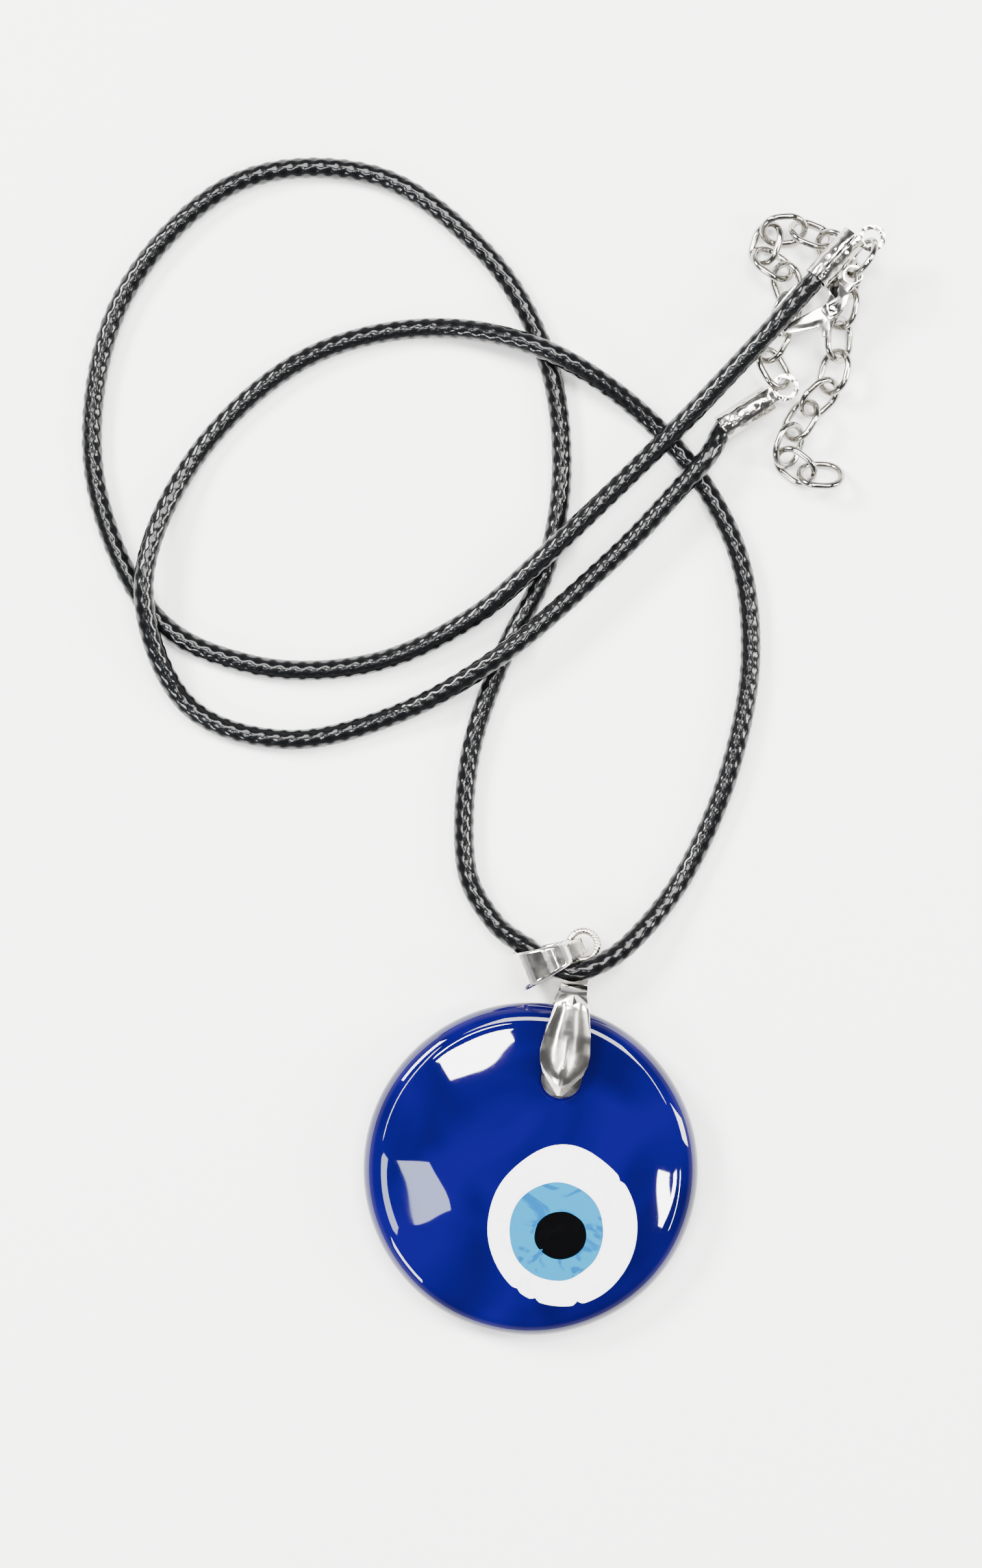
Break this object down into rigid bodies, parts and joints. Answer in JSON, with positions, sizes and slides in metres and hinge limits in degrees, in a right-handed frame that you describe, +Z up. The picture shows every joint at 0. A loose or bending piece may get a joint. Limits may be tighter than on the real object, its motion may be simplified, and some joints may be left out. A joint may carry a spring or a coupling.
{
  "type": "evil eye pendant on a cord",
  "caption": "Blue glass evil eye pendant on a silver pinch bail, strung on a black waxed cord with a lobster clasp and an extension chain, lying coiled.",
  "frame": {"origin": "on the table, straight below the middle of the glass disc's back", "axes": "+Z up out of the face of the disc, +Y from the disc towards the coiled cord, +X to the right as the face is seen"},
  "size_m": [0.0789, 0.1164, 0.0075],
  "materials": {
    "blue_glass": "gloss",
    "white_glass": "gloss",
    "light_blue_glass": "gloss",
    "black_glass": "gloss",
    "plated_metal": "polished",
    "waxed_cotton": "waxed"
  },
  "bodies": {
    "cord": {"waxed_cord": "waxed_cotton", "cord_end_a": "plated_metal", "cord_end_b": "plated_metal"},
    "band": {"band_bail": "plated_metal"},
    "bail": {"pinch_bail": "plated_metal"},
    "disc": {"glass_disc": "blue_glass", "eye_white": "white_glass", "eye_iris": "light_blue_glass", "eye_pupil": "black_glass"},
    "ring": {"clasp_ring": "plated_metal"},
    "clasp": {"clasp_body": "plated_metal", "clasp_rivet": "plated_metal"},
    "lever": {"clasp_lever": "plated_metal"},
    "chain_01": {"link_01": "plated_metal"},
    "chain_02": {"link_02": "plated_metal"},
    "chain_03": {"link_03": "plated_metal"},
    "chain_04": {"link_04": "plated_metal"},
    "chain_05": {"link_05": "plated_metal"},
    "chain_06": {"link_06": "plated_metal"},
    "chain_07": {"link_07": "plated_metal"},
    "chain_08": {"link_08": "plated_metal"},
    "chain_09": {"link_09": "plated_metal"},
    "chain_10": {"link_10": "plated_metal"},
    "chain_11": {"link_11": "plated_metal"},
    "chain_12": {"link_12": "plated_metal"},
    "chain_13": {"link_13": "plated_metal"},
    "chain_14": {"link_14": "plated_metal"},
    "chain_15": {"link_15": "plated_metal"},
    "chain_16": {"link_16": "plated_metal"},
    "chain_17": {"link_17": "plated_metal"},
    "chain_18": {"link_18": "plated_metal"}
  },
  "joints": [
    {"name": "band_swing", "type": "hinge", "parent": "cord", "child": "band", "pos_m": [0.0011, 0.0208, 0.0031], "axis": [-0.877, 0.4805, 0], "range_deg": [0, 12]},
    {"name": "bail_swing", "type": "hinge", "parent": "band", "child": "bail", "pos_m": [0.0052, 0.022, 0.0023], "axis": [0, 0, 1], "range_deg": [-4, 15]},
    {"name": "disc_turn", "type": "hinge", "parent": "bail", "child": "disc", "pos_m": [0.003, 0.00915, 0.003], "axis": [0, -0.0297, 0.9996], "range_deg": [-8, 20]},
    {"name": "ring_swing", "type": "hinge", "parent": "cord", "child": "ring", "pos_m": [0.0335, 0.091, 0.0056], "axis": [0, 0, 1], "range_deg": [0, 5]},
    {"name": "clasp_swing", "type": "hinge", "parent": "ring", "child": "clasp", "pos_m": [0.03134, 0.08774, 0.0051], "axis": [0, 0, 1], "range_deg": [-6, 6]},
    {"name": "lever_open", "type": "hinge", "parent": "clasp", "child": "lever", "pos_m": [0.02959, 0.08439, 0.00402], "axis": [0.0991, -0.0508, -0.9938], "range_deg": [0, 14], "stiffness_Nm_per_rad": 0.0005},
    {"name": "link_01_swing", "type": "hinge", "parent": "cord", "child": "chain_01", "pos_m": [0.02475, 0.07775, 0.00147], "axis": [0, 0, 1], "range_deg": [-6, 6]},
    {"name": "link_02_swing", "type": "hinge", "parent": "chain_01", "child": "chain_02", "pos_m": [0.0233, 0.0803, 0.00147], "axis": [0, 0, -1], "range_deg": [-6, 6]},
    {"name": "link_03_swing", "type": "hinge", "parent": "chain_02", "child": "chain_03", "pos_m": [0.0247, 0.0829, 0.00147], "axis": [0, 0, 1], "range_deg": [-6, 6]},
    {"name": "link_04_swing", "type": "hinge", "parent": "chain_03", "child": "chain_04", "pos_m": [0.0259, 0.0859, 0.00147], "axis": [0, 0, -1], "range_deg": [-6, 6]},
    {"name": "link_05_swing", "type": "hinge", "parent": "chain_04", "child": "chain_05", "pos_m": [0.025, 0.0886, 0.00147], "axis": [0, 0, 1], "range_deg": [-6, 6]},
    {"name": "link_06_swing", "type": "hinge", "parent": "chain_05", "child": "chain_06", "pos_m": [0.0229, 0.09, 0.00147], "axis": [0, 0, -1], "range_deg": [-6, 6]},
    {"name": "link_07_swing", "type": "hinge", "parent": "chain_06", "child": "chain_07", "pos_m": [0.0237, 0.0926, 0.00147], "axis": [0, 0, 1], "range_deg": [-5, 5]},
    {"name": "link_08_swing", "type": "hinge", "parent": "chain_07", "child": "chain_08", "pos_m": [0.0264, 0.0928, 0.00147], "axis": [0, 0, -1], "range_deg": [-4, 4]},
    {"name": "link_09_swing", "type": "hinge", "parent": "chain_08", "child": "chain_09", "pos_m": [0.0292, 0.0917, 0.00147], "axis": [0, 0, 1], "range_deg": [-3.5, 3.5]},
    {"name": "link_10_swing", "type": "hinge", "parent": "chain_09", "child": "chain_10", "pos_m": [0.0313, 0.0897, 0.00147], "axis": [0, 0, -1], "range_deg": [-3.5, 3.5]},
    {"name": "link_11_swing", "type": "hinge", "parent": "chain_10", "child": "chain_11", "pos_m": [0.0312, 0.0866, 0.00147], "axis": [0, 0, 1], "range_deg": [-4, 4]},
    {"name": "link_12_swing", "type": "hinge", "parent": "chain_11", "child": "chain_12", "pos_m": [0.0306, 0.0835, 0.00147], "axis": [0, 0, -1], "range_deg": [-5, 5]},
    {"name": "link_13_swing", "type": "hinge", "parent": "chain_12", "child": "chain_13", "pos_m": [0.0304, 0.0802, 0.00147], "axis": [0, 0, 1], "range_deg": [-8, 8]},
    {"name": "link_14_swing", "type": "hinge", "parent": "chain_13", "child": "chain_14", "pos_m": [0.0297, 0.0771, 0.00147], "axis": [0, 0, -1], "range_deg": [-12, 12]},
    {"name": "link_15_swing", "type": "hinge", "parent": "chain_14", "child": "chain_15", "pos_m": [0.0275, 0.0751, 0.00147], "axis": [0, 0, 1], "range_deg": [-20, 20]},
    {"name": "link_16_swing", "type": "hinge", "parent": "chain_15", "child": "chain_16", "pos_m": [0.026, 0.0726, 0.00147], "axis": [0, 0, -1], "range_deg": [-25, 25]},
    {"name": "link_17_swing", "type": "hinge", "parent": "chain_16", "child": "chain_17", "pos_m": [0.0251, 0.0702, 0.00147], "axis": [0, 0, 1], "range_deg": [-18, 18]},
    {"name": "link_18_swing", "type": "hinge", "parent": "chain_17", "child": "chain_18", "pos_m": [0.0273, 0.0685, 0.00147], "axis": [0, 0, -1], "range_deg": [-40, 40]}
  ]
}
